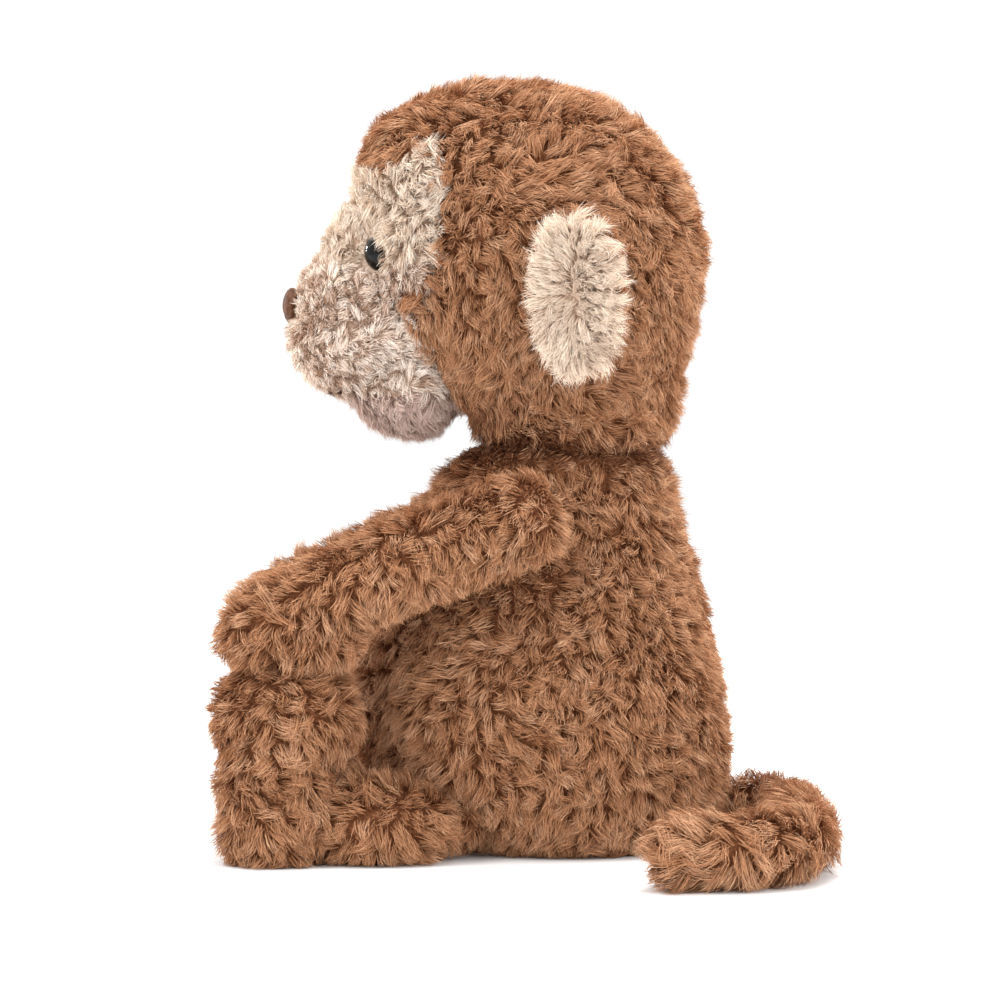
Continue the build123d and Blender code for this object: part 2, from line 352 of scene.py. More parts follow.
def capped_path(path, radii, flat_start=1.0):
    """Adds the shrinking rings of half-round ends to a path; flat_start below 1 flattens the first."""
    first, second = Vector(path[0]), Vector(path[1])
    last, before = Vector(path[-1]), Vector(path[-2])
    start = (first - second).normalized()
    end = (last - before).normalized()
    points, sizes = list(map(Vector, path)), list(radii)
    for k in range(1, CAP_STEPS + 1):
        a = k / CAP_STEPS * pi / 2 * CAP_REACH
        points.insert(0, first + start * radii[0] * sin(a) * flat_start)
        sizes.insert(0, radii[0] * cos(a))
        points.append(last + end * radii[-1] * sin(a))
        sizes.append(radii[-1] * cos(a))
    return points, sizes


def fused(name, solids, seam, voxel=SKIN_VOXEL):
    """One smooth closed skin round several solids, swollen between its seams and flat on the floor."""
    verts, faces = [], []
    for solid_verts, solid_faces in solids:
        start = len(verts)
        verts += list(solid_verts)
        faces += [[start + i for i in f] for f in solid_faces]
    obj = mesh_object(name, verts, faces, [BROWN_BACKING])
    apply_modifier(obj, "REMESH", mode="VOXEL", voxel_size=voxel * MM)
    apply_modifier(obj, "SMOOTH", factor=0.5, iterations=SKIN_SMOOTHING)
    puff(obj, seam)
    coords = points_of(obj.data)
    coords[:, 2] = np.maximum(coords[:, 2], SKIN_LIFT)
    set_points(obj.data, coords)
    obj.data.shade_smooth()
    return obj


def copy_of(obj, name):
    copy = obj.copy()
    copy.data = obj.data.copy()
    copy.name = copy.data.name = name
    bpy.context.collection.objects.link(copy)
    return copy


def puff(skin, seam):
    """Lets a skin swell between its seams, by a short cloth simulation with a cap on its movement.

    The simulation runs on a tenfold copy, where cloth of this size behaves."""
    before = points_of(skin.data)
    big = copy_of(skin, f"{skin.name}_puffing")
    set_points(big.data, before * SIM_SCALE)
    pinned = big.vertex_groups.new(name="seam")
    pinned.add(np.flatnonzero(seam(before)).tolist(), 1.0, "REPLACE")
    cloth = big.modifiers.new("puff", "CLOTH").settings
    cloth.quality = 3
    cloth.tension_stiffness = cloth.compression_stiffness = cloth.shear_stiffness = SIM_STIFFNESS
    cloth.use_pressure = True
    cloth.uniform_pressure_force = SIM_PRESSURE
    cloth.effector_weights.gravity = 0
    cloth.vertex_group_mass = "seam"
    for step in range(1, SIM_STEPS + 1):
        bpy.context.scene.frame_set(step)
    graph = bpy.context.evaluated_depsgraph_get()
    move = points_of(big.evaluated_get(graph).data) / SIM_SCALE - before
    distance = np.maximum(np.linalg.norm(move, axis=1), 1e-6)
    move *= np.minimum(1, PUFF_CAP / distance)[:, None]
    set_points(skin.data, before + move)
    bpy.data.objects.remove(big)
    bpy.context.scene.frame_set(1)


def apply_modifier(obj, kind, **settings):
    """Runs one modifier on an object and keeps the result as its mesh."""
    mod = obj.modifiers.new(kind.lower(), kind)
    for key, value in settings.items():
        setattr(mod, key, value)
    graph = bpy.context.evaluated_depsgraph_get()
    mesh = bpy.data.meshes.new_from_object(obj.evaluated_get(graph))
    old = obj.data
    obj.modifiers.clear()
    obj.data = mesh
    mesh.name = obj.name
    bpy.data.meshes.remove(old)


def points_of(mesh):
    """A mesh's points in millimetres."""
    coords = np.empty(len(mesh.vertices) * 3, np.float32)
    mesh.vertices.foreach_get("co", coords)
    return coords.reshape(-1, 3) / MM


def set_points(mesh, coords):
    mesh.vertices.foreach_set("co", (coords * MM).astype(np.float32).ravel())
    mesh.update()


def in_plane(p, axis, value=0.0):
    """Which points are on a seam that runs in a plane across an axis."""
    return np.abs(p[:, axis] - value) < SEAM_HALF


def panel(name, skin, cuts, backing):
    """The part of a closed skin on the kept side of each cut, as a sheet of backing cloth.

    A cut is a point and the direction that is removed."""
    work = bmesh.new()
    work.from_mesh(skin.data)
    for point, direction in cuts:
        geometry = work.verts[:] + work.edges[:] + work.faces[:]
        place = Vector(point) * MM
        bmesh.ops.bisect_plane(work, geom=geometry, plane_co=place, plane_no=direction, clear_outer=True)
    mesh = bpy.data.meshes.new(name)
    work.to_mesh(mesh)
    work.free()
    mesh.materials.append(backing)
    obj = bpy.data.objects.new(name, mesh)
    bpy.context.collection.objects.link(obj)
    apply_modifier(obj, "SOLIDIFY", thickness=CLOTH * MM, offset=-1)
    obj.data.shade_smooth()
    return obj


def normals_of(mesh):
    normals = np.empty(len(mesh.vertices) * 3, np.float32)
    mesh.vertices.foreach_get("normal", normals)
    return normals.reshape(-1, 3)


FILL_LUMP = 3.0  # size of the filling's lumps
FILL_DENT = 0.9  # and their depth
FILL_GAP = 0.4  # between filling and cloth
BAG_GAP = 0.3  # between filling and a pellet bag


def fibre_fill(name, skin, node, body, cavity=None):
    """Lumpy fibre inside a cover, with room for a pellet bag where cavity names one."""
    obj = copy_of(skin, name)
    coords = points_of(obj.data)
    lumps = np.clip(swirl(coords, FILL_LUMP, SEED + len(name)), 0, 1)
    coords -= normals_of(obj.data) * (CLOTH + FILL_GAP + FILL_DENT * lumps)[:, None]
    set_points(obj.data, coords)
    obj.data.materials.clear()
    obj.data.materials.append(FIBRE)
    if cavity:
        low, high = (np.array(v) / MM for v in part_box(cavity))
        verts, faces = ellipsoid_mesh((low + high) / 2, (high - low) / 2, inset=-BAG_GAP)
        hollow = mesh_object(f"{name}_hollow", verts, [f[::-1] for f in faces], [FIBRE])
        work = bmesh.new()
        work.from_mesh(obj.data)
        work.from_mesh(hollow.data)
        work.to_mesh(obj.data)
        work.free()
        bpy.data.objects.remove(hollow)
    obj.data.shade_smooth()
    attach(obj, body)
    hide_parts(node)


def cover(name, skin, node, body):
    """A limb's closed skin as cloth with a thickness."""
    obj = copy_of(skin, name)
    apply_modifier(obj, "SOLIDIFY", thickness=CLOTH * MM, offset=-1)
    obj.data.shade_smooth()
    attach(obj, body)
    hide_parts(node)


# -------------------------------- pile
# How tufts and strands vary.  A pair is a range, a single number a standard deviation.
WANDER_WIDE = (0.9, 9)  # radians that a tuft turns over broad patches, and their size
WANDER_FINE = (0.5, 3.2)
WANDER_ALONE = 0.4
LIFT_PATCHES = (9, 6)  # degrees that the lift varies over patches, and their size
LIFT_ALONE = 9
LIFT_RANGE = (14, 78)
TUFT_LENGTHS = (0.82, 1.14)
STRAND_LENGTHS = (0.68, 1.08)
STRAND_WIDTHS = (0.75, 1.2)
STRAND_ALONE = 0.16  # radians between a strand and its tuft
STRAND_KINK = 0.09
STRAND_STRAY = 0.085
STRAND_ROLL = (-1.2, 1.2)
BOW_UP, BOW_ALONG, BOW_BACK = 0.6, 0.25, 0.5  # the way of a strand's middle control point from its root
BOW_REACH = 0.8
STRAND_SEED = 500  # sets the strands' random draws apart from the tufts'
ODD_SHARE = 0.35  # strands whose shade isn't their tuft's
ROOT_DEPTH = 0.25  # of a strand's root in the cloth
STRAND_POINTS = 7
STRAND_LEVELS = ((0.0, 0.8), (0.4, 1.0), (0.75, 0.72))  # places along a strand, and its width there
STRAND_FACES = ((0, 1, 3, 2), (2, 3, 5, 4), (4, 5, 6))


def everywhere(p):
    return np.ones(len(p), bool)


def unit(v):
    return v / np.maximum(np.linalg.norm(v, axis=-1, keepdims=True), 1e-9)


def swirl(points, scale, seed):
    """A smooth value from -1 to 1 that wanders over space, from a few sine waves."""
    rng = np.random.default_rng(seed)
    total = np.zeros(len(points))
    for _ in range(5):
        wave = rng.normal(size=3) / scale
        total += np.sin(points @ wave + rng.uniform(0, 2 * pi))
    return total / 2.4


def scatter(skin, per_mm2, rng, keep):
    """Points spread evenly over a skin, with its smooth normals there."""
    mesh = skin.data
    mesh.calc_loop_triangles()
    tris = np.empty(len(mesh.loop_triangles) * 3, np.int32)
    mesh.loop_triangles.foreach_get("vertices", tris)
    tris = tris.reshape(-1, 3)
    coords = points_of(mesh)
    normals = normals_of(mesh)
    corner = coords[tris]
    area = np.linalg.norm(np.cross(corner[:, 1] - corner[:, 0], corner[:, 2] - corner[:, 0]), axis=1) / 2
    total = np.cumsum(area)
    count = int(total[-1] * per_mm2)
    pick = np.searchsorted(total, (np.arange(count) + rng.random(count)) / count * total[-1])
    pick = np.minimum(pick, len(tris) - 1)
    a, b = rng.random(count), rng.random(count)
    over = a + b > 1
    a[over], b[over] = 1 - a[over], 1 - b[over]
    weights = np.stack([1 - a - b, a, b], axis=1)[:, :, None]
    points = (corner[pick] * weights).sum(axis=1)
    normal = unit((normals[tris[pick]] * weights).sum(axis=1))
    kept = keep(points)
    return points[kept], normal[kept]


def strand_mesh(name, roots, controls, tips, sides, width, shade, palette):
    """Tapered ribbons along quadratic curves, one mesh for all."""
    count = len(roots)
    verts = np.empty((count, STRAND_POINTS, 3), np.float32)
    for level, (t, share) in enumerate(STRAND_LEVELS):
        middle = roots * (1 - t) ** 2 + controls * 2 * t * (1 - t) + tips * t**2
        half = sides * (width * share / 2)[:, None]
        verts[:, 2 * level] = middle - half
        verts[:, 2 * level + 1] = middle + half
    verts[:, -1] = tips
    verts[:, :, 2] = np.maximum(verts[:, :, 2], FLOOR_LIFT)
    corners = np.concatenate(STRAND_FACES)
    first_corners = np.cumsum([0] + [len(face) for face in STRAND_FACES[:-1]])
    loops = (np.arange(count)[:, None] * STRAND_POINTS + corners).ravel()
    starts = (np.arange(count)[:, None] * len(corners) + first_corners).ravel()
    slots = (shade[:, None] * len(SHADE_SHARES) + np.arange(len(SHADE_SHARES))).ravel()
    mesh = bpy.data.meshes.new(name)
    mesh.vertices.add(count * STRAND_POINTS)
    mesh.vertices.foreach_set("co", (verts * MM).ravel())
    mesh.loops.add(len(loops))
    mesh.loops.foreach_set("vertex_index", loops.astype(np.int32))
    mesh.polygons.add(len(starts))
    mesh.polygons.foreach_set("loop_start", starts.astype(np.int32))
    mesh.polygons.foreach_set("material_index", slots.astype(np.int32))
    mesh.update(calc_edges=True)
    for mat in palette:
        mesh.materials.append(mat)
    mesh.shade_smooth()
    obj = bpy.data.objects.new(name, mesh)
    bpy.context.collection.objects.link(obj)
    return obj


def nearest(centres, points):
    """For each point, the index of the nearest centre."""
    tree = KDTree(len(centres))
    for i, centre in enumerate(centres):
        tree.insert(centre, i)
    tree.balance()
    return np.array([tree.find(p)[1] for p in points.tolist()])


def usual_tone(p, rng):
    """A tone for each tuft at random."""
    return rng.choice(COMMON_TONES, size=len(p), p=MIX)


def tufts(skin, rng, flow, tuft, length, lift, wander, curl, tone, fade):
    """Where a skin's tufts stand, and how each lies: place, normal, way, rise, length, arc and tone."""
    p, n = scatter(skin, 1 / tuft**2, rng, everywhere)
    count = len(p)
    along = flow(p, n)
    along = unit(along - n * (along * n).sum(axis=1, keepdims=True))
    across = np.cross(n, along)
    wide = WANDER_WIDE[0] * swirl(p, WANDER_WIDE[1], SEED + 1)
    fine = WANDER_FINE[0] * swirl(p, WANDER_FINE[1], SEED + 2)
    turn = wander * (wide + fine + rng.normal(0, WANDER_ALONE, count))
    way = along * np.cos(turn)[:, None] + across * np.sin(turn)[:, None]
    patches = LIFT_PATCHES[0] * swirl(p, LIFT_PATCHES[1], SEED + 3)
    rise = np.radians(lift + patches + rng.normal(0, LIFT_ALONE, count))
    rise = np.clip(rise, *map(radians, LIFT_RANGE))[:, None]
    size = length * rng.uniform(*TUFT_LENGTHS, count)
    if fade is not None:
        size = size * fade(p)
    arc = rng.normal(0, curl, count)[:, None]
    return p, n, way, rise, size[:, None], arc, tone(p, rng)


def pile(name, skin, seed, palette, flow, keep=everywhere, field=None, per_mm2=6.2, tuft=2.5, length=5.3,
         lift=46, tidy=0.36, wander=1.0, width=0.2, tone=usual_tone, curl=0.34, fade=None):
    """Tufts of pile on a skin.

    Strands grow wherever keep says, and each belongs to the nearest tuft and leans toward its tip, by the
    share tidy.  flow gives the way that a tuft lies, lift its angle off the backing in degrees, wander how
    much its direction strays, curl how much it arcs sideways, tone each tuft's shade and fade a factor on
    its length.  Pieces that share a field have the same tufts, so that no line shows where they meet."""
    rng = np.random.default_rng(SEED + (seed if field is None else field))
    grown = tufts(skin, rng, flow, tuft, length, lift, wander, curl, tone, fade)
    p, n, way, rise, size, arc, chosen = grown
    tuft_tip = p + (way * np.cos(rise) + n * np.sin(rise) + np.cross(n, way) * arc) * size

    rng = np.random.default_rng(SEED + seed + STRAND_SEED)
    root, normal = scatter(skin, per_mm2, rng, keep)
    own = nearest(p, root)
    total = len(root)
    lay = unit(way[own] - normal * (way[own] * normal).sum(axis=1, keepdims=True))
    side = np.cross(normal, lay)
    angle = rise[own] + rng.normal(0, STRAND_ALONE, total)[:, None]
    reach = size[own] * rng.uniform(*STRAND_LENGTHS, total)[:, None]
    bend = arc[own] + rng.normal(0, STRAND_ALONE, total)[:, None]
    own_tip = root + (lay * np.cos(angle) + normal * np.sin(angle) + side * bend) * reach
    tips = own_tip * (1 - tidy) + tuft_tip[own] * tidy + rng.normal(0, STRAND_STRAY, (total, 3)) * reach
    kink = rng.normal(0, STRAND_KINK, (total, 3)) * reach
    bow = normal * BOW_UP + lay * BOW_ALONG - side * bend * BOW_BACK
    controls = root + bow * reach * BOW_REACH + kink
    roots = root - normal * ROOT_DEPTH
    run = unit(tips - roots)
    flat = unit(np.cross(run, normal))
    face = np.cross(flat, run)
    roll = rng.uniform(*STRAND_ROLL, total)[:, None]
    ribbon = flat * np.cos(roll) + face * np.sin(roll)
    shade = chosen[own]
    odd = rng.random(total) < ODD_SHARE
    shade[odd] = rng.integers(0, COMMON_TONES, odd.sum())
    widths = width * rng.uniform(*STRAND_WIDTHS, total)
    return strand_mesh(name, roots, controls, tips, ribbon, widths, shade, palette)


def away_from(point, pull=(0, 0, 0)):
    """A flow that spreads from a point, with a steady pull added."""
    def flow(p, n):
        return unit(p - np.array(point)) + np.array(pull)

    return flow


def toward(direction):
    """A flow that is the same all over."""
    def flow(p, n):
        return np.tile(direction, (len(p), 1)).astype(float)

    return flow


def in_crease(p):
    """How far down in the crease between head and torso points are, from 0 to 1."""
    return np.exp(-(((p[:, 2] - CREASE_Z) / CREASE_HALF) ** 2))


def crease_fade(p):
    return 1 - 0.55 * in_crease(p)


def crease_painted_shade_tone(p, rng):
    """The usual tones, with a darker one painted as shade in the crease."""
    chosen = usual_tone(p, rng)
    chosen[rng.random(len(p)) < 1.5 * in_crease(p)] = CREASE_SHADE_TONE
    return chosen


# -------------------------------- torso
TORSO_SIDES = 80
TORSO_STEPS = 40
CUP_STEPS = 8


def torso_skin():
    """The torso's backing, from the seat up to the rim of the cup that the head's round neck turns in."""
    turns = np.linspace(0, 2 * pi, TORSO_SIDES, endpoint=False)
    heights = [section[0] for section in TORSO_SECTIONS]
    rings = []
    for z in np.linspace(1.0, TORSO_RIM_Z, TORSO_STEPS):
        a, b, y = [np.interp(z, heights, [s[i] for s in TORSO_SECTIONS]) for i in (1, 2, 3)]
        inset = (PILE + PUFF) * min(1.0, 0.45 + z / 12)
        rings.append([((a - inset) * cos(t), y + (b - inset) * sin(t), z) for t in turns])
    rim_r = sqrt(NECK_CUP_R**2 - (TORSO_RIM_Z - NECK[2]) ** 2)
    for k in range(CUP_STEPS):
        r = rim_r * (1 - k / CUP_STEPS)
        z = NECK[2] - sqrt(NECK_CUP_R**2 - r**2)
        rings.append([(r * cos(t), NECK[1] + r * sin(t), z) for t in turns])

    def held(p):
        in_cup = np.linalg.norm(p - np.array(NECK), axis=1) < NECK_CUP_R + 3
        return in_plane(p, 1, SIDE_SEAM_Y) | in_cup

    return fused("torso_skin", [ring_mesh(rings)], held, voxel=TORSO_VOXEL)


def torso_flow(p, n):
    """Down over the body, and outward over the neck's rim."""
    outward = p - np.array((0, NECK[1], 0))
    outward[:, 2] = 0
    rim = np.clip((p[:, 2] - 88) / 6, 0, 1)[:, None]
    return np.array((0.0, 0.25, -1.0)) + unit(outward) * rim


def make_torso():
    skin = torso_skin()
    halves = {"front": (0, 1, 0), "back": (0, -1, 0)}
    for which, removed in halves.items():
        sheet = panel(f"torso_{which}_backing", skin, [((0, SIDE_SEAM_Y, 0), removed)], BROWN_BACKING)
        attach(sheet, "torso")
        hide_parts(f"torso_{which}_panel")
        for side in (-1, 1):
            def keep(p, side=side, removed=removed):
                on_side = p[:, 0] * side > 0
                in_half = (p[:, 1] - SIDE_SEAM_Y) * removed[1] <= 0
                outside = np.linalg.norm(p - np.array(NECK), axis=1) > NECK_CUP_R + 0.5
                return on_side & in_half & outside

            tag = "left" if side > 0 else "right"
            seed = TORSO_SEED + side + 5 * removed[1]
            fur = pile(f"torso_{which}_{tag}_pile", skin, seed, BROWN, torso_flow, keep, field=TORSO_FIELD,
                       tone=crease_painted_shade_tone, fade=crease_fade)
            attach(fur, "torso")
    fibre_fill("torso_fibre", skin, "torso_stuffing", "torso", cavity="seat_pellet_bag")
    bpy.data.objects.remove(skin)


# -------------------------------- head
def head_skin():
    """The head's backing, which stands further out under the face's shorter pile."""
    inset = PILE + 0.3 * PUFF
    parts = (SKULL, FOREHEAD, NAPE, BRIDGE, CHEEKS, MUZZLE, JAW)
    solids = [ellipsoid_mesh(*part, inset=inset) for part in parts]
    solids.append(ellipsoid_mesh(NECK, (NECK_R,) * 3, inset=inset))

    def held(p):
        return in_plane(p, 0) | in_plane(p, 1, FACE_SEAM_Y)

    skin = fused("head_skin", solids, held)
    coords = points_of(skin.data)
    forward = np.clip((FACE_SEAM_Y + 2 - coords[:, 1]) / 5, 0, 1)
    below_fringe = np.clip((FRINGE_TOP_Z + 2 - coords[:, 2]) / 5, 0, 1)
    shift = forward * below_fringe * (inset - FACE_PILE)
    set_points(skin.data, coords + normals_of(skin.data) * shift[:, None])
    return skin


def in_face(p):
    """Whether points are on the pale face.  Its edge has a brown point at the cheek, and a brown lock
    hangs over the middle of the brow between two pale peaks."""
    length, middle, half_width = CHEEK_POINT
    cheek = length * np.exp(-(((p[:, 2] - middle) / half_width) ** 2))
    back, top, depth = JAW_STEP
    under_jaw = back * np.clip((top - p[:, 2]) / depth, 0, 1)
    ragged = 1.2 * swirl(p, 2.2, 78)
    front = p[:, 1] < FACE_SEAM_Y - cheek + under_jaw + ragged
    peak = np.clip(0.9 * (p[:, 1] + 50), 0, 8)
    return front & (p[:, 2] < BROW_LOCK_Z + peak + ragged)


def eye_middle():
    """The left eye's middle, on the front of the skull."""
    centre, semi = np.array(SKULL[0]), np.array(SKULL[1])
    x, z = (EYE_AT[0] - centre[0]) / semi[0], (EYE_AT[1] - centre[2]) / semi[2]
    return centre + semi * np.array((x, -sqrt(1 - x**2 - z**2), z))


def eye_distance(p):
    """How far points are from the nearer eye's middle."""
    return np.linalg.norm(np.abs(p) * (1, -1, 1) - eye_middle(), axis=1)


def inner_side(p):
    """From 1 on an eye's inner side to less on its outer side, where the pile laps over it."""
    return np.clip(0.5 + (EYE_AT[0] - np.abs(p[:, 0])) / 4, 0.2, 1)


def clear_of_eyes(p):
    """Whether points are beside the eyes, not under them."""
    return eye_distance(p) > EYE_R + EYE_MARGIN


def off_the_eyes(flow):
    """A flow, turned away from an eye beside it."""
    def turned(p, n):
        eye = eye_middle() * np.where(p[:, :1] > 0, (1, 1, 1), (-1, 1, 1))
        out = unit(p - eye)
        near = (inner_side(p) * np.exp(-((eye_distance(p) / 8.0) ** 2)))[:, None]
        return unit(flow(p, n)) * (1 - near) + 1.5 * out * near

    return turned


def before_crease(p):
    """How far in front of the crease between bridge and brow points are."""
    return BROW_CREASE_Y - BROW_CREASE_SLOPE * (p[:, 2] - BROW_CREASE_Z) - p[:, 1]


def face_length(p):
    """Shorter round the eyes, and shorter on the bridge than on the brow behind its crease."""
    by_eyes = 1 - 0.4 * inner_side(p) * np.exp(-((eye_distance(p) - EYE_R) / 3.0) ** 2)
    bridge = np.clip(before_crease(p) / 1.5, 0, 1)
    brow = 0.4 * np.clip((p[:, 2] - MUZZLE_TOP_Z) / 4, 0, 1)
    return by_eyes * (1 + brow * (0.6 - bridge))


def hair_length(p):
    """Shorter in the neck's crease and in the lock over the brow."""
    lock = np.exp(-(((p[:, 2] - BROW_LOCK_Z) / 6) ** 2)) * np.clip((-46 - p[:, 1]) / 4, 0, 1)
    return crease_fade(p) * (1 - 0.5 * lock)


def brow_crease_painted_shade(p, rng):
    """Mostly light tones, with a dark one painted as shade along the crease between bridge and brow."""
    chosen = rng.choice(COMMON_TONES, size=len(p), p=(0.45, 0.15, 0.4))
    chosen[np.abs(before_crease(p) - 0.4) < 0.9] = DARK_TONE
    return chosen


def mottled(p, rng):
    """Dark spots among light tones."""
    spots = swirl(p, 1.5, 77) + rng.normal(0, 0.3, len(p))
    return np.where(spots > 0.5, DARK_TONE, np.where(spots < -0.1, LIGHT_TONE, 0))


def make_head_sheets(skin):
    """The head's cloth, cut at its seams."""
    up, down, back, front = (0, 0, 1), (0, 0, -1), (0, 1, 0), (0, -1, 0)
    behind_ears, before_ears = [((0, EAR_SEAM_Y, 0), way) for way in (front, back)]
    face, hair = [((0, FACE_SEAM_Y, 0), way) for way in (back, front)]
    above_face, below_hair = [((0, 0, FACE_TOP_Z), way) for way in (down, up)]
    above_muzzle, below_brow = [((0, 0, MUZZLE_TOP_Z), way) for way in (down, up)]
    above_chin, below_muzzle = [((0, 0, MUZZLE_BASE_Z), way) for way in (down, up)]
    sheets = {
        "head_back": ([behind_ears], "head_back_panel", BROWN_BACKING, "brown_plush"),
        "head_front": ([before_ears, hair], "head_front_panel", BROWN_BACKING, "brown_plush"),
        "head_top": ([face, above_face], None, BROWN_BACKING, "brown_plush"),
        "brow": ([face, below_hair, above_muzzle], "brow_panel", PALE_BACKING, "cream_plush"),
        "muzzle": ([face, below_brow, above_chin], "muzzle_panel", PALE_BACKING, "pale_muzzle_plush"),
        "chin": ([face, below_muzzle], "chin_panel", PALE_BACKING, "pale_muzzle_plush"),
    }
    for name, (cuts, node, mat, slot) in sheets.items():
        sheet = panel(f"{name}_backing", skin, cuts, mat)
        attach(sheet, "head")
        if node:
            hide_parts(node)


def make_hair(skin):
    """The head's brown pile, in quarters."""
    crown = away_from((0, -40, 175), (0, 0.2, -0.5))
    quarters = {"left_back": (1, True), "right_back": (-1, True), "left_front": (1, False),
                "right_front": (-1, False)}
    for i, (tag, (side, behind)) in enumerate(quarters.items()):
        def keep(p, side=side, behind=behind):
            half = (p[:, 1] > EAR_SEAM_Y) == behind
            return (p[:, 0] * side > 0) & half & ~in_face(p) & (p[:, 2] > HAIR_BASE_Z)

        fur = pile(f"head_{tag}_pile", skin, HAIR_SEED + i, BROWN, crown, keep, field=HAIR_FIELD,
                   tone=crease_painted_shade_tone, fade=hair_length)
        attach(fur, "head")


def make_face_pile(skin):
    """The shorter pale pile of the brow, the muzzle and the chin."""
    def brow_area(p):
        return in_face(p) & (p[:, 2] > MUZZLE_TOP_Z) & clear_of_eyes(p)

    def muzzle_area(p):
        return in_face(p) & (p[:, 2] <= MUZZLE_TOP_Z) & (p[:, 2] > MUZZLE_BASE_Z) & clear_of_eyes(p)

    def chin_area(p):
        return in_face(p) & (p[:, 2] <= MUZZLE_BASE_Z)

    brow_flow = off_the_eyes(away_from((0, -60, 150), (0, 0.4, 0.1)))
    muzzle_flow = off_the_eyes(away_from((0, -66, 138), (0, 0.5, -0.2)))
    chin_flow = toward((0, 0.5, -0.8))
    areas = [
        ("brow_pile", brow_area, CREAM, "cream_plush", 4.2, brow_flow, brow_crease_painted_shade),
        ("muzzle_pile", muzzle_area, MUZZLE_PALE, "pale_muzzle_plush", 3.6, muzzle_flow, mottled),
        ("chin_pile", chin_area, CHIN_PALE, "pale_muzzle_plush", 4.2, chin_flow, usual_tone),
    ]
    for i, (name, keep, palette, slot, length, flow, tone) in enumerate(areas):
        fur = pile(name, skin, FACE_SEED + i, palette, flow, keep, field=FACE_FIELD, per_mm2=10.0, tuft=1.9,
                   length=length, lift=44, width=0.17, tone=tone, fade=face_length)
        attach(fur, "head")


def make_head():
    skin = head_skin()
    make_head_sheets(skin)
    make_hair(skin)
    make_face_pile(skin)
    fibre_fill("head_fibre", skin, "head_stuffing", "head")
    bpy.data.objects.remove(skin)


# -------------------------------- limbs
def mirrored(point, side):
    return (point[0] * side, point[1], point[2])


def make_arm(side, tag):
    root, hand = Vector(mirrored(SHOULDER, side)), Vector(mirrored(HAND, side))
    way = (hand - root).normalized()
    end = hand + way * (ARM_TIP - HAND_R)
    sewn = root + way * ARM_SEAM_SHIFT
    shares = [k / ARM_STEPS for k in range(ARM_STEPS + 1)]
    path = [sewn.lerp(end, share) for share in shares]
    radii = [float(np.interp(share, (0, 0.5, 1), (ARM_ROOT_R, ARM_MID_R, HAND_R))) for share in shares]
    radii = [r - PILE - 0.4 * PUFF for r in radii]
    tube = tube_mesh(*capped_path(path, radii, flat_start=ARM_END_DEPTH))
    centre, semi = PALM
    palm = ellipsoid_mesh(mirrored(centre, side), semi, inset=PILE)

    def underside(p):
        middle = np.interp(p[:, 1], (hand[1], root[1]), (hand[2], root[2]))
        return (np.abs(p[:, 0] - root[0]) < 2.5) & (p[:, 2] < middle)

    skin = fused(f"{tag}_arm_skin", [tube, palm], underside)
    down_the_arm = toward(tuple(way * 0.8 + Vector((0, 0, -0.6))))
    fur = pile(f"{tag}_arm_pile", skin, ARM_SEED + side, BROWN, down_the_arm)
    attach(fur, f"{tag}_arm")
    cover(f"{tag}_arm_backing", skin, f"{tag}_arm_cover", f"{tag}_arm")
    fibre_fill(f"{tag}_arm_fibre", skin, f"{tag}_arm_stuffing", f"{tag}_arm")
    bpy.data.objects.remove(skin)


def make_leg(side, tag):
    hip, heel = Vector(mirrored(HIP, side)), Vector(mirrored(HEEL, side))
    shares = [k / LEG_STEPS for k in range(LEG_STEPS + 1)]
    path = [hip.lerp(heel, share) for share in shares]
    radii = [float(np.interp(share, (0, 1), (HIP_R, HEEL_R))) - PILE * 0.9 for share in shares]
    solids = [tube_mesh(*capped_path(path, radii))]
    for centre, semi in (FOOT_LOW, ANKLE, FOOT_HIGH, INSTEP, CALF):
        solids.append(ellipsoid_mesh(mirrored(centre, side), semi, inset=PILE + 0.4 * PUFF))

    def sole(p):
        return p[:, 2] < 3

    skin = fused(f"{tag}_leg_skin", solids, sole)
    fur = pile(f"{tag}_leg_pile", skin, LEG_SEED + side, BROWN, toward((0, -0.35, -0.9)))
    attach(fur, f"{tag}_leg")
    cover(f"{tag}_leg_backing", skin, f"{tag}_leg_cover", f"{tag}_leg")
    fibre_fill(f"{tag}_leg_fibre", skin, f"{tag}_leg_stuffing", f"{tag}_leg",
               cavity=f"{tag}_foot_pellet_bag")
    bpy.data.objects.remove(skin)


def bend(cx, cy, r, start, end, z):
    """A quarter circle's points, after its first."""
    return [(cx + r * cos(a), cy + r * sin(a), z) for a in np.linspace(start, end, 9)[1:]]


def tail_path(z):
    """The tail's middle line: back from its root, along behind the back, and forward at the side."""
    x, y = TAIL_ROOT
    first, second = TAIL_BENDS
    root_bend = bend(x + first, TAIL_BACK_Y - first, first, pi, pi / 2, z)
    run = [(x + first + step, TAIL_BACK_Y, z) for step in TAIL_RUN]
    side_bend = bend(TAIL_SIDE_X - second, TAIL_BACK_Y - second, second, pi / 2, 0, z)
    return [(x, y, z), *root_bend, *run, *side_bend, (TAIL_SIDE_X, TAIL_END_Y, z)]


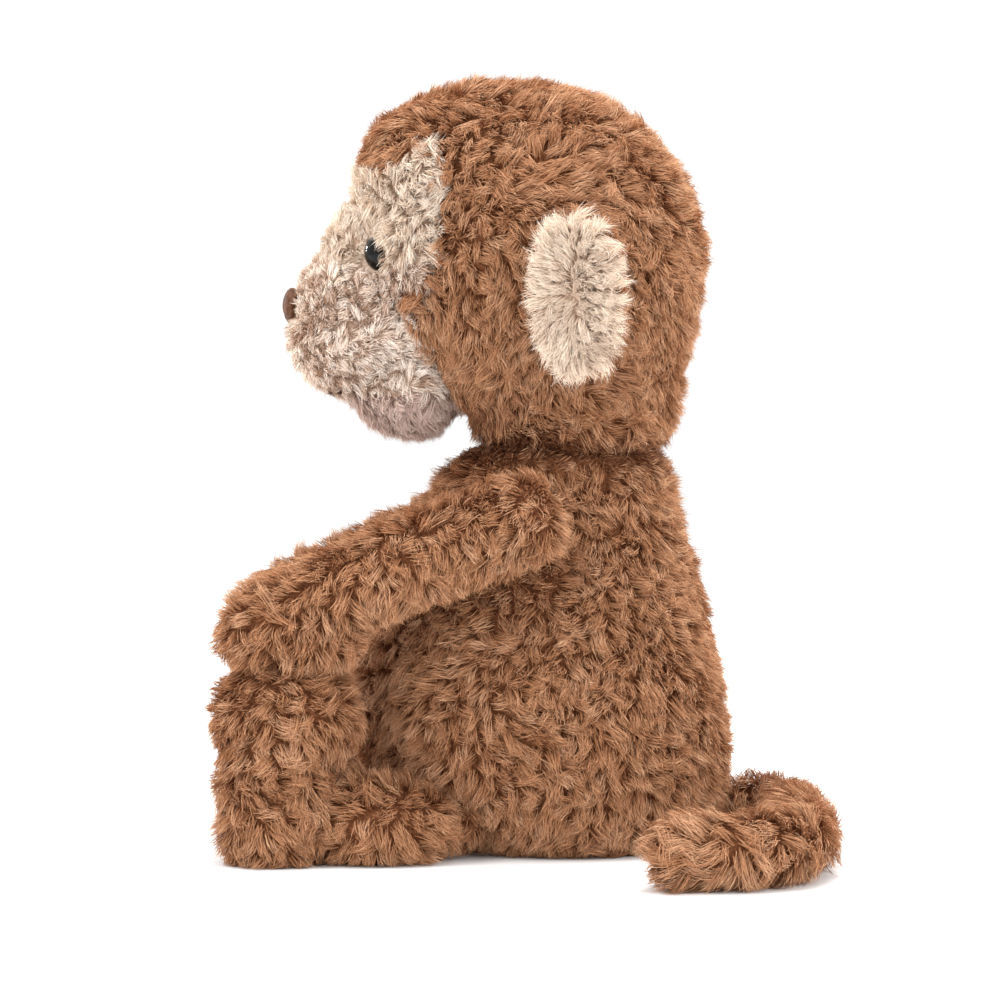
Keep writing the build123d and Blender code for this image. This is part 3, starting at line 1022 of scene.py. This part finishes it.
def make_tail():
    low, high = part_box("tail_cover")
    path = tail_path((low[2] + high[2]) / 2 / MM - TAIL_DROP)
    slimmer = np.interp(np.linspace(0, 1, len(path)), (0, 0.6, 1), (TAIL_TAPER, TAIL_TAPER, 0))
    radii = [TAIL_R - PILE - PUFF * 0.5 - less for less in slimmer]

    def underside(p):
        return p[:, 2] < 3.5

    skin = fused("tail_skin", [tube_mesh(*capped_path(path, radii))], underside)

    # Weighted toward the lightest tone: painted light on the tail.
    def tail_painted_light_tones(p, rng):
        return rng.choice(COMMON_TONES, size=len(p), p=(0.35, 0.1, 0.55))

    def longer_below(p):
        return 1.25 - 0.028 * p[:, 2]

    def flow(p, n):
        past_bend = np.where(p[:, 0] > 50, -1.5, 0.0)
        return np.stack([np.ones(len(p)), past_bend, np.full(len(p), -0.3)], axis=1)

    fur = pile("tail_pile", skin, TAIL_SEED, BROWN, flow, length=7.2, lift=34, tone=tail_painted_light_tones,
               fade=longer_below)
    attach(fur, "tail")
    cover("tail_backing", skin, "tail_cover", "tail")
    fibre_fill("tail_fibre", skin, "tail_stuffing", "tail")
    bpy.data.objects.remove(skin)


# -------------------------------- ears, nose, mouth and hidden parts
EAR_ROOT = (44.4, -15, 137)
EAR_LEAN = 12
EAR_FLARE = 25
EAR_DISC = (9.2, 17.5, 1.4)
EAR_CORNER = 2.5  # 2 is an ellipse
EAR_REACH = 12.3
EAR_LAYER_SHIFT = 1.5


def ear_frame(side):
    """The ear's centre, and its axes: backward along the flap, up, and out of its pale face."""
    up = np.array((sin(radians(EAR_LEAN)), 0, cos(radians(EAR_LEAN))))
    flap = np.array((sin(radians(EAR_FLARE)), cos(radians(EAR_FLARE)), 0))
    flap = unit(flap - up * (flap @ up))
    out = np.cross(flap, up)
    axes = np.array([flap, up, out])
    axes[:, 0] *= side
    centre = np.array(mirrored(EAR_ROOT, side)) + axes[0] * EAR_REACH
    return centre, axes


def squared_off(point):
    """A point of the ear's egg shape moved outward to a fuller, more oblong outline."""
    x, y, z = point
    a, b = abs(x) / EAR_DISC[0], abs(y) / EAR_DISC[1]
    if a + b < 0.01:
        return point
    fuller = sqrt(a**2 + b**2) / (a**EAR_CORNER + b**EAR_CORNER) ** (1 / EAR_CORNER)
    return (x * fuller, y * fuller, z)


def make_ear(side, tag):
    centre, axes = ear_frame(side)
    layers = {
        "front": (1, CREAM, PALE_BACKING, "cream_plush", 5.6, 1.5),
        "back": (-1, BROWN, BROWN_BACKING, "brown_plush", 4.5, 2.6),
    }
    for i, (layer, (way, palette, backing, slot, length, tuft)) in enumerate(layers.items()):
        middle = centre + axes[2] * way * EAR_LAYER_SHIFT
        verts, faces = ellipsoid_mesh((0, 0, 0), EAR_DISC)
        verts = [middle + np.array(squared_off(v)) @ axes for v in verts]
        disc = mesh_object(f"{tag}_ear_{layer}_backing", verts, faces, [backing])
        apply_modifier(disc, "REMESH", mode="VOXEL", voxel_size=0.9 * MM)
        disc.data.shade_smooth()

        def outer(p, middle=middle, way=way):
            return (p - middle) @ axes[2] * way > -0.3

        def outwards(p, middle=middle):
            """0 in the ear's middle, 1 at its rim."""
            return np.linalg.norm(((p - middle) @ axes.T)[:, :2] / EAR_DISC[:2], axis=1)

        def from_middle_line(p, n, middle=middle):
            return p - middle - axes[1] * 0.75 * ((p - middle) @ axes[1])[:, None]

        def fringed(p):
            return 0.5 + 0.5 * outwards(p) ** 1.5

        def shaded(p, rng):
            return np.where(swirl(p, 1.6, 79) > 1.5 * outwards(p) - 0.8, DARK_TONE, 0)

        fur = pile(f"{tag}_ear_{layer}_pile", disc, EAR_SEED + 3 * i + side, palette, from_middle_line,
                   outer, per_mm2=22, tuft=tuft, length=length, lift=32, wander=0.7, width=0.15, curl=0.2,
                   tidy=0.25, tone=shaded, fade=fringed)
        for piece in (disc, fur):
            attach(piece, f"{tag}_ear")
        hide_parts(f"{tag}_ear_{layer}_layer")


NOSE = ((0, -74.4, 134.5), (6, 2.4, 4.6))
NOSE_ROWS = 26
MOUTH_FOLD_R = 15.6
MOUTH_HALF_ANGLE = 38
NECK_THREAD_R = 17.2
NECK_THREAD_Z = 97
SHOULDER_THREAD_AT = (26, -13, 86)
SHOULDER_THREAD_R = 4.5
THREAD_R = 0.6
PLY_R = THREAD_R * 0.55
PLY_OFFSET = 0.3  # of a ply's middle from the thread's
PLY_TWIST = 0.55  # radians from one step to the next


def make_nose():
    """A padded oval in upright satin stitches."""
    (cx, cy, cz), (a, b, c) = NOSE
    verts, faces = ellipsoid_mesh((0, 0, 0), (1, 1, 1))
    verts = np.array(verts)
    ridge = 1 + 0.035 * np.cos(verts[:, 0] * NOSE_ROWS * pi) * (verts[:, 1] < 0.3)
    verts = verts * np.array((a, b, c)) * ridge[:, None] + np.array((cx, cy, cz))
    nose = mesh_object("nose_stitches", verts, faces, [NOSE_SATIN])
    apply_modifier(nose, "SUBSURF", levels=1, render_levels=1)
    nose.data.shade_smooth()
    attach(nose, "head")
    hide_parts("nose")


def plied_thread(name, point_at, steps):
    """Two thin plies twisted round a line."""
    verts, faces = [], []
    for ply in (0, pi):
        path = [point_at(k / steps, ply + k * PLY_TWIST) for k in range(steps + 1)]
        ply_verts, ply_faces = tube_mesh(path, [PLY_R] * len(path), sides=8)
        faces += [[i + len(verts) for i in f] for f in ply_faces]
        verts += ply_verts
    thread = mesh_object(name, verts, faces, [THREAD])
    thread.data.shade_smooth()
    return thread


def make_mouth():
    """The stitched smile in the fold under the muzzle."""
    def point_at(share, twist):
        a = radians(-90 - MOUTH_HALF_ANGLE + 2 * MOUTH_HALF_ANGLE * share)
        r = MOUTH_FOLD_R + PLY_OFFSET * cos(twist)
        return (r * cos(a), MUZZLE[0][1] + r * sin(a), MUZZLE_BASE_Z + PLY_OFFSET * sin(twist))

    mouth = plied_thread("mouth_thread", point_at, 90)
    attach(mouth, "head")
    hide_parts("mouth_stitch")


def make_neck_thread():
    """The closing stitches, drawn tight in the crease between the head and the torso."""
    def point_at(share, twist):
        a = 2 * pi * share
        r = NECK_THREAD_R + PLY_OFFSET * cos(twist)
        return (r * cos(a), NECK[1] + r * sin(a), NECK_THREAD_Z + PLY_OFFSET * sin(twist))

    thread = plied_thread("neck_thread", point_at, 220)
    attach(thread, "neck")
    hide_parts("neck_seam_thread")


def make_shoulder_thread(side, tag):
    """The closing stitches between an arm and the torso, down in the torso's pile."""
    x, y, z = SHOULDER_THREAD_AT

    def point_at(share, twist):
        a = 2 * pi * share
        r = SHOULDER_THREAD_R + PLY_OFFSET * cos(twist)
        return (side * (x + PLY_OFFSET * sin(twist)), y + r * cos(a), z + r * sin(a))

    thread = plied_thread(f"{tag}_shoulder_thread", point_at, 70)
    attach(thread, "torso")
    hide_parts(f"{tag}_shoulder_seam_thread")


def finish_cad_nodes():
    """Materials for the CAD's own pieces, whose shapes stay."""
    materials = {"_eye": EYE_BLACK, "_washer": NYLON, "_pellets": PELLET, "_bag": BAG, "_thread": THREAD}
    for name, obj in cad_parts.items():
        for ending, mat in materials.items():
            if name.endswith(ending):
                obj.data.materials.clear()
                obj.data.materials.append(mat)
                obj.data.shade_smooth()


# -------------------------------- studio
# Lengths here are in metres.
FLOOR_SIZE = 80
FLOOR_WHITE = 0.9
WORLD_STRENGTH = 1.12
LIGHT_AIM = (0, 0, 0.09)
LIGHTS = {  # place, diameter and watts
    "key": ((0.5, -0.7, 0.7), 0.5, 5),
    "glint": ((-0.55, -0.75, 0.35), 0.1, 2),
    "top": ((0.05, 0.1, 1.0), 0.6, 8),
    "rear": ((0.4, 0.8, 0.5), 0.6, 4.5),
}
CAMERA_AT = (0.80, -0.0225, 0.115)
CAMERA_AIM = (0, -0.0225, 0.086)
CAMERA_LENS = 115
CAMERA_SENSOR = 36


def make_stage():
    bpy.ops.mesh.primitive_plane_add(size=FLOOR_SIZE, location=(0, 0, 0))
    floor = bpy.context.object
    floor.name = "floor"
    mat = bpy.data.materials.new("floor")
    mat.use_nodes = True
    shader = mat.node_tree.nodes["Principled BSDF"]
    shader.inputs["Base Color"].default_value = (FLOOR_WHITE, FLOOR_WHITE, FLOOR_WHITE, 1)
    shader.inputs["Roughness"].default_value = 0.9
    floor.data.materials.append(mat)


def aimed(obj, place, aim):
    """Puts a light or a camera in the scene, at a place and looking at another."""
    obj.location = place
    obj.rotation_euler = (Vector(aim) - Vector(place)).to_track_quat("-Z", "Y").to_euler()
    bpy.context.collection.objects.link(obj)
    return obj


def make_light():
    world = bpy.data.worlds.new("studio")
    world.use_nodes = True
    background = world.node_tree.nodes["Background"]
    background.inputs["Color"].default_value = (1, 1, 1, 1)
    background.inputs["Strength"].default_value = WORLD_STRENGTH
    bpy.context.scene.world = world
    for name, (place, size, power) in LIGHTS.items():
        data = bpy.data.lights.new(name, "AREA")
        data.shape = "DISK"
        data.size = size
        data.energy = power
        aimed(bpy.data.objects.new(name, data), place, LIGHT_AIM)


def make_camera():
    data = bpy.data.cameras.new("camera")
    data.sensor_width = CAMERA_SENSOR
    data.lens = CAMERA_LENS
    bpy.context.scene.camera = aimed(bpy.data.objects.new("camera", data), CAMERA_AT, CAMERA_AIM)
    bpy.context.scene.view_settings.view_transform = "Standard"


make_camera()
make_light()
make_stage()
make_torso()
make_head()
for side, tag in ((1, "left"), (-1, "right")):
    make_arm(side, tag)
    make_leg(side, tag)
    make_ear(side, tag)
    make_shoulder_thread(side, tag)
make_tail()
make_nose()
make_mouth()
make_neck_thread()
finish_cad_nodes()
